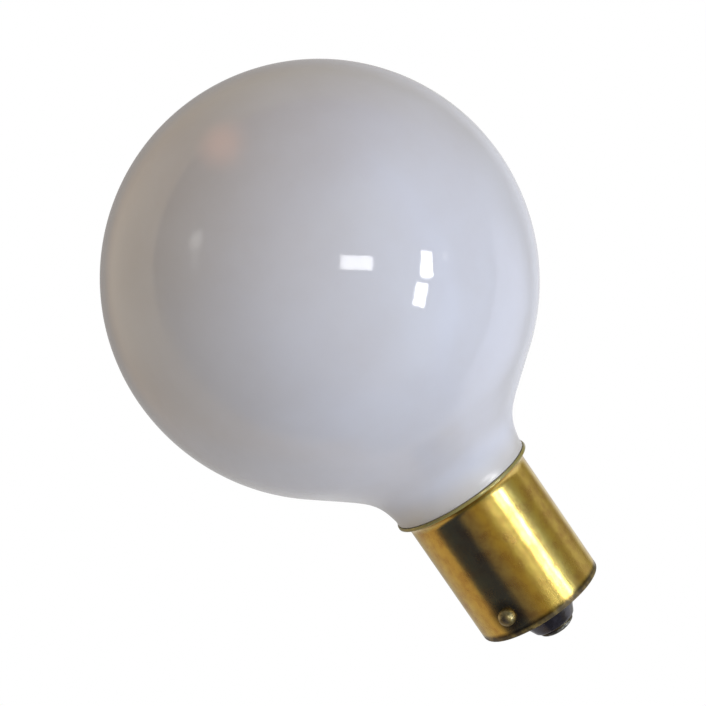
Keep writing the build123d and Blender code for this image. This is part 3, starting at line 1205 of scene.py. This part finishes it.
    def windows(self, centre, view):
        """Small bright windows that stand as the camera does."""
        for name, aside, above, width, height, lean, tint in WINDOWS:
            outward = view.to_3x3() @ self.outward(aside, above)
            wide, high = (2 * WINDOW_DISTANCE * tan(radians(part) / 2) for part in (width, height))
            clear_selection()
            bpy.ops.mesh.primitive_plane_add(size=2.0)
            card = bpy.context.object
            card.name = name
            place = upright_at(centre + outward * WINDOW_DISTANCE, -outward, view.col[1].xyz)
            turned = Matrix.Rotation(radians(lean), 4, "Z")
            card.matrix_world = place @ turned @ Matrix.Diagonal((wide / 2, high / 2, 1, 1))
            card.data.materials.append(self.pane(name, tint))
            self.gloss_only(card)

    def pane(self, name, tint):
        """Glowing pane with a soft edge, round and wide on the faint ones."""
        finish = bpy.data.materials.new(name)
        tree = blank_tree(finish)
        place = object_place(tree)
        if name in SHARP:
            across, along, _ = split(tree, vector_calc(tree, "ABSOLUTE", place))
            fade = remap(tree, calc(tree, "MAXIMUM", across, along), SHARP_RIM, 1.0)
        else:
            fade = remap(tree, vector_calc(tree, "LENGTH", place), SOFT_RIM, 1.0)
        glow = add_node(tree, "ShaderNodeEmission", {"Color": opaque(tint), "Strength": 1.0}).outputs[0]
        fade_out(tree, glow, fade)
        return finish

    def floor(self, stage):
        """Pale disc below the lamp that fades out into the white."""
        clear_selection()
        height = bottom("contact_solder") - stage.floor_drop
        bpy.ops.mesh.primitive_circle_add(
            vertices=FLOOR_SEGMENTS, radius=stage.floor_radius, fill_type="NGON", location=(0, 0, height)
        )
        floor = bpy.context.object
        floor.name = "floor"
        finish = bpy.data.materials.new("Pale floor")
        tree = blank_tree(finish)
        distance = vector_calc(tree, "LENGTH", object_place(tree))
        fade = remap(tree, distance, *(share * stage.floor_radius for share in FLOOR_FADE))
        seen = add_node(tree, "ShaderNodeLightPath").outputs["Is Camera Ray"]
        strength = calc(tree, "MULTIPLY", seen, FLOOR_LIFT)
        lift = add_node(tree, "ShaderNodeEmission", {"Strength": strength}).outputs[0]
        pale = add_node(tree, "ShaderNodeBsdfDiffuse", {"Color": opaque(FLOOR_COLOUR)}).outputs[0]
        fade_out(tree, add_node(tree, "ShaderNodeAddShader", {0: pale, 1: lift}).outputs[0], fade)
        floor.data.materials.append(finish)
        floor.visible_glossy = False


OPERATORS = (
    BULB_OT_opal_globe,
    BULB_OT_brass_shell,
    BULB_OT_bayonet_pins,
    BULB_OT_insulator,
    BULB_OT_centre_contact,
    BULB_OT_inner_pieces,
    BULB_OT_stage,
)


class BULB_PT_build(Panel):
    """Lists the steps that build the lamp, with the sizes and colours they use"""

    bl_idname = "BULB_PT_build"
    bl_label = "Vanity Bulb"
    bl_space_type = "VIEW_3D"
    bl_region_type = "UI"
    bl_category = "Vanity Bulb"

    def draw(self, context):
        for operator in OPERATORS:
            self.layout.operator(operator.bl_idname)
        for name, group in SETTINGS.items():
            box = self.layout.box()
            box.label(text=group.__doc__)
            for key in group.__annotations__:
                box.prop(getattr(context.scene, name), key)


CLASSES = (*SETTINGS.values(), *OPERATORS, BULB_PT_build)


def register():
    """Register the classes and hang the settings on the scene."""
    for item in CLASSES:
        bpy.utils.register_class(item)
    for name, group in SETTINGS.items():
        setattr(bpy.types.Scene, name, PointerProperty(type=group))


def unregister():
    """Take the settings off the scene and unregister the classes."""
    for name in SETTINGS:
        delattr(bpy.types.Scene, name)
    for item in reversed(CLASSES):
        bpy.utils.unregister_class(item)


def main():
    """Register the add-on and build the lamp step by step."""
    register()
    bpy.ops.vanity_bulb.opal_globe()
    bpy.ops.vanity_bulb.brass_shell()
    bpy.ops.vanity_bulb.bayonet_pins()
    bpy.ops.vanity_bulb.insulator()
    bpy.ops.vanity_bulb.centre_contact()
    bpy.ops.vanity_bulb.inner_pieces()
    bpy.ops.vanity_bulb.stage()


if __name__ == "__main__":
    main()
